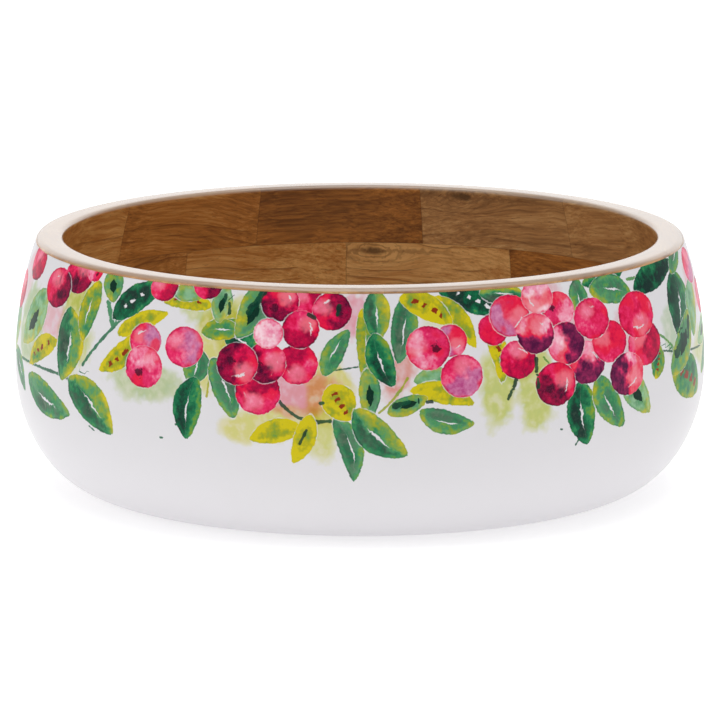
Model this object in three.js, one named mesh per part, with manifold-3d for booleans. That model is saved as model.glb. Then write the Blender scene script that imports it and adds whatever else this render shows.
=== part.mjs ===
// A round serving bowl, glued up from hardwood blocks like brickwork, turned on a lathe and
// coated outside with a white enamel that carries a printed pattern of berries and leaves.
// Three rings of blocks stand on a board of edge-glued planks. Millimetres, +Z up, and the
// origin is the middle of the foot, on the surface that the bowl stands on. Angles are turned
// from the front (-Y) towards the right (+X).
import * as THREE from "three";
import { mergeVertices } from "three/addons/utils/BufferGeometryUtils.js";
import Module from "manifold-3d";

// Overall shape
const bowlHeight = 110;
const bellyRadius = 150; // the widest part, over the enamel
const bellyHeight = 54;
const rimInset = 10; // how far the rim stands in from the belly
const outerCornerWidth = 38; // how far the outside curves in from the belly to its level part
const innerCornerWidth = 40; // the same inside, from the belly to the flat floor
const wallThickness = 12;
const floorHeight = 14; // the inside floor, above the table
const rimOuterRounding = 2.5;
const rimInnerRounding = 3.5;

// Turned foot
const enamelLift = 0.4; // the enamel's lowest edge, above the table
const footInset = 4; // from where the outside turns level to the foot's edge
const footRingWidth = 22;
const footRecessDepth = 1.6;

// Enamel coat
const enamelThickness = 0.5;
const enamelGap = 0.3; // clearance to the wood behind it
const enamelTopDrop = 2; // from the top of the rim to the enamel's edge
const enamelLap = 3; // how far it runs in under the outside curve, short of the foot

// Glued-up wood
const ringNames = ["lower", "middle", "rim"]; // courses of blocks, from the bottom up
const ringTurns = [5.5, 19, 4.1]; // the angle of each course's first joint, in degrees
const blocksPerRing = 11;
const baseBoardThickness = 27.5;
const glueLine = 0.3;
// Butt joints of each plank row of the base board, measured along the row from its middle
const boardRows = [[12], [-48, 52], [20], [-30, 66], [-64, 34], [-10]];

// Facets
const facetsPerBlock = 4;
const sideSteps = 5; // straight stretches that stand for each curve
const cornerSteps = 6;
const edgeSteps = 3;

const facets = blocksPerRing * facetsPerBlock;
const levelRadius = bellyRadius - outerCornerWidth;
const footRadius = levelRadius - footInset;
const courseHeight = (bowlHeight - baseBoardThickness) / ringNames.length;
const enamelTop = bowlHeight - enamelTopDrop;
const halfGlue = glueLine / 2;

const wasm = await Module();
wasm.setup();

const woodTones = [0x8a5a2e, 0x9a6a38, 0x7a4a24, 0xa67a46];
const enamelColour = 0xf3f1f2;

const bowl = new THREE.Group();
bowl.name = "painted_wooden_bowl";

// A closed geometry as a manifold-3d solid.
function solidFrom(geometry) {
  const bare = geometry.index ? geometry.toNonIndexed() : geometry.clone();
  bare.deleteAttribute("normal");
  bare.deleteAttribute("uv");
  const merged = mergeVertices(bare, 1e-4);
  return new wasm.Manifold(
    new wasm.Mesh({
      numProp: 3,
      vertProperties: merged.attributes.position.array,
      triVerts: new Uint32Array(merged.index.array),
    }),
  );
}

function addPiece(name, solid, color, roughness) {
  const mesh = solid.getMesh();
  const geometry = new THREE.BufferGeometry();
  geometry.setAttribute("position", new THREE.BufferAttribute(mesh.vertProperties, 3));
  geometry.setIndex(new THREE.BufferAttribute(mesh.triVerts, 1));
  geometry.computeVertexNormals();
  const material = new THREE.MeshStandardMaterial({ color, roughness, metalness: 0 });
  const piece = new THREE.Mesh(geometry, material);
  piece.name = name;
  bowl.add(piece);
}

function addWood(name, solid, tone) {
  addPiece(name, solid, woodTones[tone % woodTones.length], 0.45);
}

const sideRise = bowlHeight - bellyHeight;
const sideRadius = (sideRise ** 2 + rimInset ** 2) / (2 * rimInset);

// The outside or the inside of the wall from its lowest point to the rim, as stations with a
// point (radius, height) and the normal that leads outwards. The corner is a quarter ellipse
// below the belly. The side above it is one arc, upright at the belly, that ends at the rim.
function wallPath(bellyR, cornerWidth, lowZ) {
  const stations = [];
  const cornerDepth = bellyHeight - lowZ;
  for (let i = 0; i <= cornerSteps; i++) {
    const turn = (Math.PI / 2) * (1 - i / cornerSteps);
    const point = new THREE.Vector2(
      bellyR - cornerWidth * (1 - Math.cos(turn)),
      bellyHeight - cornerDepth * Math.sin(turn),
    );
    const normal = new THREE.Vector2(Math.cos(turn) / cornerWidth, -Math.sin(turn) / cornerDepth);
    stations.push({ point, normal: normal.normalize() });
  }
  const centre = new THREE.Vector2(bellyR - sideRadius, bellyHeight);
  for (let i = 1; i <= sideSteps; i++) {
    const turn = (Math.asin(sideRise / sideRadius) * i) / sideSteps;
    const normal = new THREE.Vector2(Math.cos(turn), Math.sin(turn));
    stations.push({ point: centre.clone().addScaledVector(normal, sideRadius), normal });
  }
  return stations;
}

const setBack = (stations, depth) => stations.map((s) => s.point.clone().addScaledVector(s.normal, -depth));

// The stretch of an upward path between two heights, ending on its straight lines.
function between(path, lowZ, highZ) {
  const at = (z) => {
    const i = path.findIndex((p, k) => k > 0 && p.y >= z);
    const [a, b] = [path[i - 1], path[i]];
    return a.clone().lerp(b, (z - a.y) / (b.y - a.y));
  };
  const shortest = 0.5; // a corner of the path nearer than this to an end is left out
  const inner = path.filter((p) => p.y > lowZ + shortest && p.y < highZ - shortest);
  return [at(lowZ), ...inner, at(highZ)];
}

const rounding = (from, corner, to) => new THREE.QuadraticBezierCurve(from, corner, to).getPoints(edgeSteps);

function lathe(profile) {
  const geometry = new THREE.LatheGeometry(profile, facets);
  geometry.rotateX(Math.PI / 2);
  return solidFrom(geometry);
}

const outerWall = wallPath(bellyRadius, outerCornerWidth, enamelLift);
const enamelFace = setBack(outerWall, 0);
const enamelBack = setBack(outerWall, enamelThickness);
const woodFace = setBack(outerWall, enamelThickness + enamelGap);
const inside = setBack(wallPath(bellyRadius - wallThickness, innerCornerWidth, floorHeight), 0);

// The section of one course of blocks, up its outside and down its inside.
function courseSection(index) {
  const low = baseBoardThickness + index * courseHeight + halfGlue;
  const high = baseBoardThickness + (index + 1) * courseHeight - halfGlue;
  if (index < ringNames.length - 1) {
    return [...between(woodFace, low, high), ...between(inside, low, high).reverse()];
  }
  // The rim course stands out above the enamel, flush with its face, and has rounded edges.
  const shoulder = enamelTop + enamelGap;
  const [outerStart, outerCorner] = between(enamelFace, shoulder, bowlHeight);
  const outerEnd = outerCorner.clone().setX(outerCorner.x - rimOuterRounding);
  const innerSide = between(inside, low, bowlHeight - rimInnerRounding);
  const innerCorner = inside[inside.length - 1];
  const innerStart = innerCorner.clone().setX(innerCorner.x + rimInnerRounding);
  return [
    ...between(woodFace, low, shoulder),
    ...rounding(outerStart, outerCorner, outerEnd),
    ...rounding(innerStart, innerCorner, innerSide.pop()),
    ...innerSide.reverse(),
  ];
}

// The upright wedge that one block of a ring fills, clear of its neighbours by the glue line.
function wedge(fromTurn, toTurn) {
  const half = (toTurn - fromTurn) / 2;
  const direction = (turn) => new THREE.Vector2(Math.sin(turn), -Math.cos(turn));
  const apex = direction(fromTurn + half).multiplyScalar(halfGlue / Math.sin(half));
  const reach = (2 * bellyRadius) / Math.cos(half);
  const corners = [fromTurn, toTurn].map((turn) => apex.clone().addScaledVector(direction(turn), reach));
  const shape = new THREE.Shape([apex, ...corners]);
  return solidFrom(new THREE.ExtrudeGeometry(shape, { depth: bowlHeight, bevelEnabled: false }));
}

ringNames.forEach((ringName, index) => {
  const section = courseSection(index);
  const ring = lathe([...section, section[0].clone()]);
  const firstJoint = THREE.MathUtils.degToRad(ringTurns[index]);
  const blockTurn = (2 * Math.PI) / blocksPerRing;
  for (let i = 0; i < blocksPerRing; i++) {
    const from = firstJoint + i * blockTurn;
    const number = String(i + 1).padStart(2, "0");
    addWood(`${ringName}_block_${number}`, ring.intersect(wedge(from, from + blockTurn)), i + index);
  }
});

// The base board's section, from the axis under the foot round to the axis above the floor.
const boardTop = baseBoardThickness - halfGlue;
const recessRadius = footRadius - footRingWidth;
const boardSection = [
  new THREE.Vector2(0, footRecessDepth),
  new THREE.Vector2(recessRadius, footRecessDepth),
  new THREE.Vector2(recessRadius, 0),
  new THREE.Vector2(footRadius, 0),
  new THREE.Vector2(footRadius, woodFace[0].y),
  ...between(woodFace, woodFace[0].y, boardTop),
  ...between(inside, floorHeight, boardTop).reverse(),
  new THREE.Vector2(0, floorHeight),
];
const board = lathe(boardSection);
const boardRadius = Math.max(...boardSection.map((p) => p.x));
const rowWidth = (2 * boardRadius) / boardRows.length;

// An upright square-cut bar that reaches past the board's faces.
function bar(lowX, highX, lowY, highY) {
  const geometry = new THREE.BoxGeometry(highX - lowX, highY - lowY, 2 * bowlHeight);
  geometry.translate((lowX + highX) / 2, (lowY + highY) / 2, 0);
  return solidFrom(geometry);
}

boardRows.forEach((joints, row) => {
  const pastBoard = 2 * boardRadius;
  const rowEdge = (edge) => -boardRadius + edge * rowWidth;
  const lowY = row === 0 ? -pastBoard : rowEdge(row) + halfGlue;
  const highY = row === boardRows.length - 1 ? pastBoard : rowEdge(row + 1) - halfGlue;
  const ends = [-pastBoard, ...joints, pastBoard];
  for (let i = 0; i + 1 < ends.length; i++) {
    const plank = board.intersect(bar(ends[i] + halfGlue, ends[i + 1] - halfGlue, lowY, highY));
    addWood(`base_plank_${row + 1}${"abc"[i]}`, plank, row + 2 * i);
  }
});

// The coat is one closed skin that laps in under the outside curve.
const lapRadius = levelRadius - enamelLap;
const coatSection = [
  new THREE.Vector2(lapRadius, enamelFace[0].y),
  ...between(enamelFace, enamelFace[0].y, enamelTop),
  ...between(enamelBack, enamelBack[0].y, enamelTop).reverse(),
  new THREE.Vector2(lapRadius, enamelBack[0].y),
];
addPiece("enamel_coat", lathe([...coatSection, coatSection[0].clone()]), enamelColour, 0.3);

export default bowl;
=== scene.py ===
import math
import random

import bmesh
import bpy
from bpy.props import FloatProperty, FloatVectorProperty, IntProperty, PointerProperty
from bpy.types import Operator, Panel, PropertyGroup
from mathutils import Euler, Matrix, Vector


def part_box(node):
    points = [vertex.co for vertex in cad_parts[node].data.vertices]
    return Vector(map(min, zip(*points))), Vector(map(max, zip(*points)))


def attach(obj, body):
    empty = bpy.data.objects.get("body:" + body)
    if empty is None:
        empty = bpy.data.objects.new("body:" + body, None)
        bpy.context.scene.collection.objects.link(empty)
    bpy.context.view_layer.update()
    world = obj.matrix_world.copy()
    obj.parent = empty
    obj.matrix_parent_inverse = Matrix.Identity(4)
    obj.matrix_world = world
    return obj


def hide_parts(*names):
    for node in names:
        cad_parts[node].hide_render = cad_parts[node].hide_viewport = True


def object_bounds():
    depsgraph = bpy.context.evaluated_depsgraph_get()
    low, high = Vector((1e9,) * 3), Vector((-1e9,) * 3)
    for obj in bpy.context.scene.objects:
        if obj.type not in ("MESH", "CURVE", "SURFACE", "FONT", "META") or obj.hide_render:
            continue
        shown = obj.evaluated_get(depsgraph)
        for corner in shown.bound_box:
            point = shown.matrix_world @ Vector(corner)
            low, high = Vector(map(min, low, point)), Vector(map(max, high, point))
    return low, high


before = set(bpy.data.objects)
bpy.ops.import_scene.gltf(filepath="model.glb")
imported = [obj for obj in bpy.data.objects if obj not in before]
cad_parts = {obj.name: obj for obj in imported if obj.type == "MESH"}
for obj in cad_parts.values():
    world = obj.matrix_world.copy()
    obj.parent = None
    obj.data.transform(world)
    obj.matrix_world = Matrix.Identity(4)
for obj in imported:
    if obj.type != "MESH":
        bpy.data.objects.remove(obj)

bl_info = {
    "name": "Painted wooden bowl",
    "version": (1, 0, 0),
    "blender": (4, 5, 0),
    "location": "3D View > Sidebar > Bowl",
    "description": "Builds a bowl glued up from hardwood blocks, with a printed enamel outside",
    "category": "Object",
}

CAD_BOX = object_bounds()
MM = 0.001
CAD_GLUE = 0.3  # the gap in millimetres that stands for a glue line between the CAD planks
COURSES = ("lower", "middle", "rim")
BLOCKS_PER_COURSE = sum(name.startswith("rim_block_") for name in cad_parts)
BLOCK_STEPS = 26  # flats round the length of one block
BOARD_STEPS = 256  # flats round the bottom board
COAT_STEPS = 720  # flats round the enamel, a multiple of three for the three rows of its UV map
RING_STEP = 4.0  # between the rings of points across the inside floor and the recess, in millimetres
FAR_KNOT = 1000.0  # distance given to a knot where a plank has none, in millimetres


def mm(value):
    """A length in metres from one in millimetres."""
    return value * MM


WELD = mm(0.001)  # points nearer than this become one


def paint(red, green, blue):
    """A scene-linear colour from red, green and blue on a paint chart's scale of 0 to 255."""
    shares = [c / 255 for c in (red, green, blue)]
    return tuple(c / 12.92 if c < 0.04045 else ((c + 0.055) / 1.055) ** 2.4 for c in shares)


def number(name, description, value, **more):
    return FloatProperty(name=name, description=description, default=value, **more)


def length(name, description, value):
    return number(name, description, value, min=0, subtype="DISTANCE", unit="LENGTH")


def angle(name, description, degrees):
    return number(name, description, math.radians(degrees), subtype="ANGLE", unit="ROTATION")


def share(name, description, value):
    return number(name, description, value, min=0, max=1, subtype="FACTOR")


def colour(name, description, value):
    return FloatVectorProperty(
        name=name, description=description, default=value, size=3, min=0, max=1, subtype="COLOR"
    )


class BowlSizes(PropertyGroup):
    """The turned shape and the glued-up blocks."""

    height: length("Height", "From the table to the top of the rim", CAD_BOX[1].z)
    belly: length("Belly radius", "The widest part, over the enamel", CAD_BOX[1].x)
    belly_height: length("Belly height", "Height of the widest part", mm(54))
    rim_inset: length("Rim inset", "How far the rim stands in from the belly", mm(10))
    outer_corner: length("Outer corner", "How far the outside curves in to the foot", mm(38))
    inner_corner: length("Inner corner", "How far the inside curves in to the floor", mm(40))
    wall: length("Wall", "Thickness of the wall at the belly", mm(12))
    floor: length("Floor height", "The inside floor above the table", mm(14))
    rim_outer_round: length("Outer rounding", "Rounding of the rim's outer edge", mm(2.5))
    rim_inner_round: length("Inner rounding", "Rounding of the rim's inner edge", mm(3.5))
    board: length("Board", "Thickness of the glued-up bottom board", mm(27.5))
    glue: length("Glue line", "Gap between two blocks", mm(0.02))
    foot_inset: length("Foot inset", "From where the outside turns level to the foot", mm(4))
    foot_ring: length("Foot ring", "Width of the ring that the bowl stands on", mm(22))
    foot_recess: length("Foot recess", "Depth of the recess inside the foot ring", mm(1.6))
    foot_round: length("Foot rounding", "Rounding of the foot ring's edges", mm(0.4))
    coat: length("Enamel", "Thickness of the enamel", mm(0.5))
    coat_gap: length("Enamel gap", "Gap between the enamel and the wood", mm(0.3))
    coat_drop: length("Enamel drop", "From the top of the rim to the enamel's edge", mm(2))
    coat_lift: length("Enamel lift", "The enamel's lowest edge above the table", mm(0.4))
    coat_lap: length("Enamel lap", "How far the enamel runs in under the bowl", mm(3))
    lower_turn: angle("Lower course", "Angle of the lower course's first joint", 5.5)
    middle_turn: angle("Middle course", "Angle of the middle course's first joint", 19)
    rim_turn: angle("Rim course", "Angle of the rim course's first joint", 4.1)
    seed: IntProperty(name="Seed", description="Changes the figure of the wood", default=7, min=0)


class BowlFinish(PropertyGroup):
    """Colours of the wood, the enamel and the print."""

    wood_dark: colour("Dark wood", "Growth lines, pores and streaks", paint(112, 66, 26))
    wood_mid: colour("Wood", "Body of the wood", paint(188, 127, 60))
    wood_light: colour("Light wood", "Palest wood between the growth lines", paint(236, 190, 120))
    # The rim colour is a painted sheen: paler wood on the top of the rim that stands in for the lacquer
    # reflecting the white surround at a low angle
    rim: colour("Rim", "Fine-sanded wood on the flat top of the rim", paint(172, 150, 132))
    wood_roughness: share("Wood roughness", "Roughness of the satin lacquer", 0.38)
    enamel: colour("Enamel", "White enamel", paint(226, 224, 227))
    enamel_roughness: share("Enamel roughness", "Roughness of the enamel", 0.28)


class StudioSetup(PropertyGroup):
    """Camera, floor and lights."""

    elevation: angle("Camera elevation", "Height of the camera above the horizon", 10.81)
    distance: length("Camera distance", "From the camera to its target", 2.5)
    target: length("Target height", "Height that the camera looks at", mm(53.5))
    lens: number("Lens", "Focal length", 286.5, min=1, unit="CAMERA")
    floor_size: length("Floor size", "Width of the floor", 12)
    surround: number("Surround", "Brightness of the white surround", 0.48, min=0)


# --- Section of the wall ---------------------------------------------------------------------


class Wall:
    """One face of the wall: a quarter ellipse below the belly and a circular arc above it."""

    def __init__(self, sizes, belly, corner, low):
        self.belly, self.corner, self.low = belly, corner, low
        self.belly_z = sizes.belly_height
        rise = sizes.height - self.belly_z
        self.radius = (rise**2 + sizes.rim_inset**2) / (2 * sizes.rim_inset)
        self.lean = math.asin(rise / self.radius)

    def at(self, turn, set_back=0.0):
        """The point (radius, height) at a turn from -90 degrees at the foot to the lean at the rim."""
        cos, sin = math.cos(turn), math.sin(turn)
        if turn < 0:
            depth = self.belly_z - self.low
            point = Vector((self.belly - self.corner * (1 - cos), self.belly_z + depth * sin))
            normal = Vector((cos / self.corner, sin / depth)).normalized()
        else:
            point = Vector((self.belly - self.radius * (1 - cos), self.belly_z + self.radius * sin))
            normal = Vector((cos, sin))
        return point - set_back * normal

    def turn_at(self, z):
        """The turn at which the wall is at a height."""
        if z < self.belly_z:
            return -math.asin(min(1, (self.belly_z - z) / (self.belly_z - self.low)))
        return math.asin(min(1, (z - self.belly_z) / self.radius))

    def path(self, set_back=0.0, fine=1.3):
        """Points from the foot to the rim, about fine millimetres apart, coarser near the foot."""
        coarse_to, coarse_step = math.radians(-30), math.radians(2.6 * fine)
        corner_turns = spread(-math.pi / 2, coarse_to, coarse_step)
        corner_turns += spread(coarse_to, 0, mm(fine) / (self.belly_z - self.low))[1:]
        side_turns = spread(0, self.lean, mm(fine) / self.radius)[1:]
        return [self.at(turn, set_back) for turn in corner_turns + side_turns]


def spread(low, high, step):
    """Even values from low to high, no further apart than step."""
    count = max(1, math.ceil(abs(high - low) / step))
    return [low + (high - low) * i / count for i in range(count + 1)]


def stretch(path, low, high):
    """The part of an upward path between two heights."""

    def point_at(z):
        for a, b in zip(path, path[1:]):
            if b.y >= z:
                return a.lerp(b, (z - a.y) / (b.y - a.y))
        return path[-1].copy()

    near = mm(0.2)
    inner = [p for p in path if low + near < p.y < high - near]
    return [point_at(low), *inner, point_at(high)]


def rounding(start, corner, end, steps=7):
    """Points from start to end that round a corner off."""
    turns = [i / steps for i in range(steps + 1)]
    return [start * (1 - t) ** 2 + corner * 2 * t * (1 - t) + end * t**2 for t in turns]


def outer_wall(sizes):
    return Wall(sizes, sizes.belly, sizes.outer_corner, sizes.coat_lift)


def wood_faces(sizes):
    """The wood's outline behind the enamel, and its outline inside the bowl."""
    inner = Wall(sizes, sizes.belly - sizes.wall, sizes.inner_corner, sizes.floor)
    return outer_wall(sizes).path(sizes.coat + sizes.coat_gap, fine=2.5), inner.path(fine=1.6)


# --- Meshes ----------------------------------------------------------------------------------


def polar(radius, turn, z):
    """A point at a turn measured from the front towards the right."""
    return Vector((radius * math.sin(turn), -radius * math.cos(turn), z))


def turn_of(point):
    return math.atan2(point.x, -point.y)


def spin_section(section, start, sweep, steps, closed=True):
    """A bmesh turned from a section of (radius, height) points. A part turn gets flat ends."""
    bm = bmesh.new()
    verts = [bm.verts.new(polar(p.x, start, p.y)) for p in section]
    pairs = list(zip(verts, verts[1:] + verts[:1])) if closed else list(zip(verts, verts[1:]))
    edges = [bm.edges.new(pair) for pair in pairs]
    full = math.isclose(sweep, math.tau)
    bmesh.ops.spin(
        bm, geom=verts + edges, cent=(0, 0, 0), axis=(0, 0, 1), angle=sweep, steps=steps, use_merge=full
    )
    bmesh.ops.remove_doubles(bm, verts=bm.verts, dist=WELD)
    if not full:
        bmesh.ops.holes_fill(bm, edges=[e for e in bm.edges if e.is_boundary], sides=0)
    bmesh.ops.recalc_face_normals(bm, faces=bm.faces)
    return bm


def smooth(bm, sharp_from=28):
    """Smooth shading, with edges left sharp where the faces turn by more than an angle in degrees."""
    for face in bm.faces:
        face.smooth = True
    for edge in bm.edges:
        if edge.is_manifold and edge.calc_face_angle(0) > math.radians(sharp_from):
            edge.smooth = False


def add_piece(name, bm, material, nodes):
    """Makes the object, and hands it to the frame in place of its CAD nodes."""
    mesh = bpy.data.meshes.new(name)
    bm.to_mesh(mesh)
    bm.free()
    mesh.materials.append(material)
    piece = bpy.data.objects.new(name, mesh)
    bpy.context.scene.collection.objects.link(piece)
    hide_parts(*nodes)
    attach(piece, "root")
    return piece


# --- Node building ---------------------------------------------------------------------------


class Graph:
    """Adds nodes to a tree, in the order in which they are worked out."""

    COLUMN, ROW, PER_ROW = 180, 320, 40  # how the nodes are set out in the editor

    def __init__(self, tree):
        self.tree = tree

    def node(self, kind, **settings):
        node = self.tree.nodes.new(kind)
        row, column = divmod(len(self.tree.nodes), self.PER_ROW)
        node.location = (self.COLUMN * column, -self.ROW * row)
        for name, value in settings.items():
            setattr(node, name, value)
        return node

    def plug(self, socket, value):
        if isinstance(value, bpy.types.NodeSocket):
            self.tree.links.new(value, socket)
        elif value is not None:
            if socket.type == "RGBA" and len(value) == 3:
                value = (*value, 1)
            socket.default_value = value

    def math(self, operation, a, b=None, c=None, clamp=False):
        node = self.node("ShaderNodeMath", operation=operation, use_clamp=clamp)
        for socket, value in zip(node.inputs, (a, b, c)):
            self.plug(socket, value)
        return node.outputs[0]

    def plus(self, first, *others, clamp=False):
        for value in others:
            first = self.math("ADD", first, value, clamp=clamp)
        return first

    def minus(self, a, b):
        return self.math("SUBTRACT", a, b)

    def times(self, first, *others, clamp=False):
        for value in others:
            first = self.math("MULTIPLY", first, value, clamp=clamp)
        return first

    def size_of(self, value):
        return self.math("ABSOLUTE", value)

    def hypot(self, a, b):
        return self.math("SQRT", self.plus(self.times(a, a), self.times(b, b)))

    def swing(self, noise, width):
        """Turns noise of 0 to 1 into a value that varies over a width about 0."""
        return self.times(self.minus(noise, 0.5), width)

    def vector(self, operation, a, b=None):
        node = self.node("ShaderNodeVectorMath", operation=operation)
        self.plug(node.inputs[0], a)
        self.plug(node.inputs[1], b)
        return node.outputs[0]

    def fade(self, value, start, end, low=0.0, high=1.0):
        """Eases from low to high as value goes from start to end, whichever is larger."""
        node = self.node("ShaderNodeMapRange", interpolation_type="SMOOTHSTEP")
        for socket, given in zip(node.inputs, (value, start, end, low, high)):
            self.plug(socket, given)
        return node.outputs[0]

    def mix(self, factor, a, b, blend="MIX"):
        """Mixes colours, which a Mix node takes at its inputs 6 and 7 and gives at its output 2."""
        node = self.node("ShaderNodeMix", data_type="RGBA", blend_type=blend)
        for place, value in zip((0, 6, 7), (factor, a, b)):
            self.plug(node.inputs[place], value)
        return node.outputs[2]

    def blend(self, factor, a, b):
        """Mixes numbers, which a Mix node takes at its inputs 2 and 3."""
        node = self.node("ShaderNodeMix", data_type="FLOAT")
        for place, value in zip((0, 2, 3), (factor, a, b)):
            self.plug(node.inputs[place], value)
        return node.outputs[0]

    def noise(self, vector, scale, detail=2.0, roughness=0.5):
        node = self.node("ShaderNodeTexNoise")
        self.plug(node.inputs["Vector"], vector)
        self.plug(node.inputs["Scale"], scale)
        self.plug(node.inputs["Detail"], detail)
        self.plug(node.inputs["Roughness"], roughness)
        return node.outputs["Fac"]

    def ramp(self, factor, stops):
        """A colour ramp with stops of (place, colour)."""
        node = self.node("ShaderNodeValToRGB")
        band = node.color_ramp
        while len(band.elements) > 1:
            band.elements.remove(band.elements[-1])
        band.elements[0].position = stops[0][0]
        band.elements[0].color = (*stops[0][1], 1)
        for place, tint in stops[1:]:
            band.elements.new(place).color = (*tint, 1)
        self.plug(node.inputs[0], factor)
        return node.outputs[0]

    def split(self, vector):
        node = self.node("ShaderNodeSeparateXYZ")
        self.plug(node.inputs[0], vector)
        return node.outputs[:]

    def join(self, x, y, z):
        node = self.node("ShaderNodeCombineXYZ")
        for socket, value in zip(node.inputs, (x, y, z)):
            self.plug(socket, value)
        return node.outputs[0]

    def attribute(self, name, output="Vector"):
        return self.node("ShaderNodeAttribute", attribute_name=name).outputs[output]

    def group(self, tree, **inputs):
        node = self.node("ShaderNodeGroup", node_tree=tree)
        for name, value in inputs.items():
            self.plug(node.inputs[name.replace("_", " ").title()], value)
        return node.outputs

    def object_mm(self):
        """Object coordinates in millimetres."""
        place = self.node("ShaderNodeTexCoord").outputs["Object"]
        node = self.node("ShaderNodeVectorMath", operation="SCALE")
        self.plug(node.inputs[0], place)
        node.inputs["Scale"].default_value = 1 / MM
        return node.outputs[0]


SOCKETS = {"value": "NodeSocketFloat", "vector": "NodeSocketVector", "colour": "NodeSocketColor"}


def new_group(name, inputs, outputs):
    """An empty node group. Returns its tree, its graph, and its own inputs and outputs by name."""
    tree = bpy.data.node_groups.new(name, "ShaderNodeTree")
    for title, (kind, value) in inputs.items():
        socket = tree.interface.new_socket(title, in_out="INPUT", socket_type=SOCKETS[kind])
        socket.default_value = (*value, 1) if kind == "colour" else value
    for title, kind in outputs.items():
        tree.interface.new_socket(title, in_out="OUTPUT", socket_type=SOCKETS[kind])
    enter = tree.nodes.new("NodeGroupInput")
    leave = tree.nodes.new("NodeGroupOutput")
    return tree, Graph(tree), enter.outputs, leave.inputs


def new_material(name):
    material = bpy.data.materials.new(name)
    material.use_nodes = True
    shader = material.node_tree.nodes["Principled BSDF"]
    return material, Graph(material.node_tree), shader


# --- Wood ------------------------------------------------------------------------------------


def growth_rings_group():
    """Growth lines round a log's heart, from plank coordinates with X along the grain, in millimetres."""
    inputs = {"Plank": ("vector", (0, 0, 0)), "Spacing": ("value", 5.0), "Wander": ("value", 5.0)}
    tree, g, given, out = new_group("Growth Rings", inputs, {"Band": "value", "Line": "value"})
    x, y, z = g.split(given["Plank"])
    slow = g.join(g.times(x, 0.012), g.times(y, 0.03), g.times(z, 0.03))
    shift = g.swing(g.noise(slow, 1.0, 3.0), given["Wander"])
    reach = g.hypot(y, z)
    years = g.math("DIVIDE", g.plus(reach, g.times(shift, 3.0)), given["Spacing"])
    phase = g.math("FRACT", years)
    g.plug(out["Band"], phase)
    rise = g.fade(phase, 0.74, 0.96)
    fall = g.fade(phase, 1.0, 0.96)
    strength = g.noise(g.join(g.math("FLOOR", years), 0.5, 0.5), 1.7, 0.0)
    broken = g.fade(g.noise(slow, 4.0, 2.0), 0.38, 0.6)
    strength = g.times(g.fade(strength, 0.4, 0.65), broken)
    g.plug(out["Line"], g.times(rise, fall, strength))
    return tree


def wood_fibre_group():
    """Fine fibres and open pores that run along X, from plank coordinates in millimetres."""
    inputs = {"Plank": ("vector", (0, 0, 0))}
    outputs = {"Fibre": "value", "Pores": "value", "Cloud": "value"}
    tree, g, given, out = new_group("Wood Fibre", inputs, outputs)
    x, y, z = g.split(given["Plank"])
    sway = g.swing(g.noise(given["Plank"], 0.035, 2.0), 5.0)
    across = g.plus(y, sway)
    upward = g.plus(z, sway)
    long_drawn = g.join(g.times(x, 0.035), across, upward)
    drawn = g.join(g.times(x, 0.16), across, upward)
    g.plug(out["Fibre"], g.noise(long_drawn, 0.9, 5.0, 0.62))
    g.plug(out["Pores"], g.fade(g.noise(drawn, 1.9, 1.0), 0.62, 0.74))
    g.plug(out["Cloud"], g.noise(drawn, 0.1, 3.0, 0.6))
    return tree


def knot_group():
    """A dark knot with its streak and rings, from a place along and across the grain in millimetres."""
    inputs = {"Knot": ("vector", (FAR_KNOT, FAR_KNOT, 0)), "Noise": ("value", 0.5)}
    outputs = {"Core": "value", "Streak": "value", "Swell": "value"}
    tree, g, given, out = new_group("Knot", inputs, outputs)
    along, across, _ = g.split(given["Knot"])
    ragged = g.minus(given["Noise"], 0.5)
    reach = g.hypot(g.times(along, 0.4), across)
    edge = g.plus(reach, g.times(ragged, 3.0))
    g.plug(out["Core"], g.fade(edge, 2.6, 0.8))
    ring = g.math("SINE", g.times(edge, 2.6))
    ring = g.times(g.fade(ring, 0.3, 0.95), g.fade(reach, 9, 3))
    side = g.size_of(g.plus(across, g.times(ragged, 5.0)))
    streak = g.times(g.fade(side, 1.5, 0.3), g.fade(g.size_of(along), 48, 18))
    g.plug(out["Streak"], g.math("MAXIMUM", streak, ring))
    g.plug(out["Swell"], g.times(across, -0.8, g.fade(reach, 12, 2)))
    return tree


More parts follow.
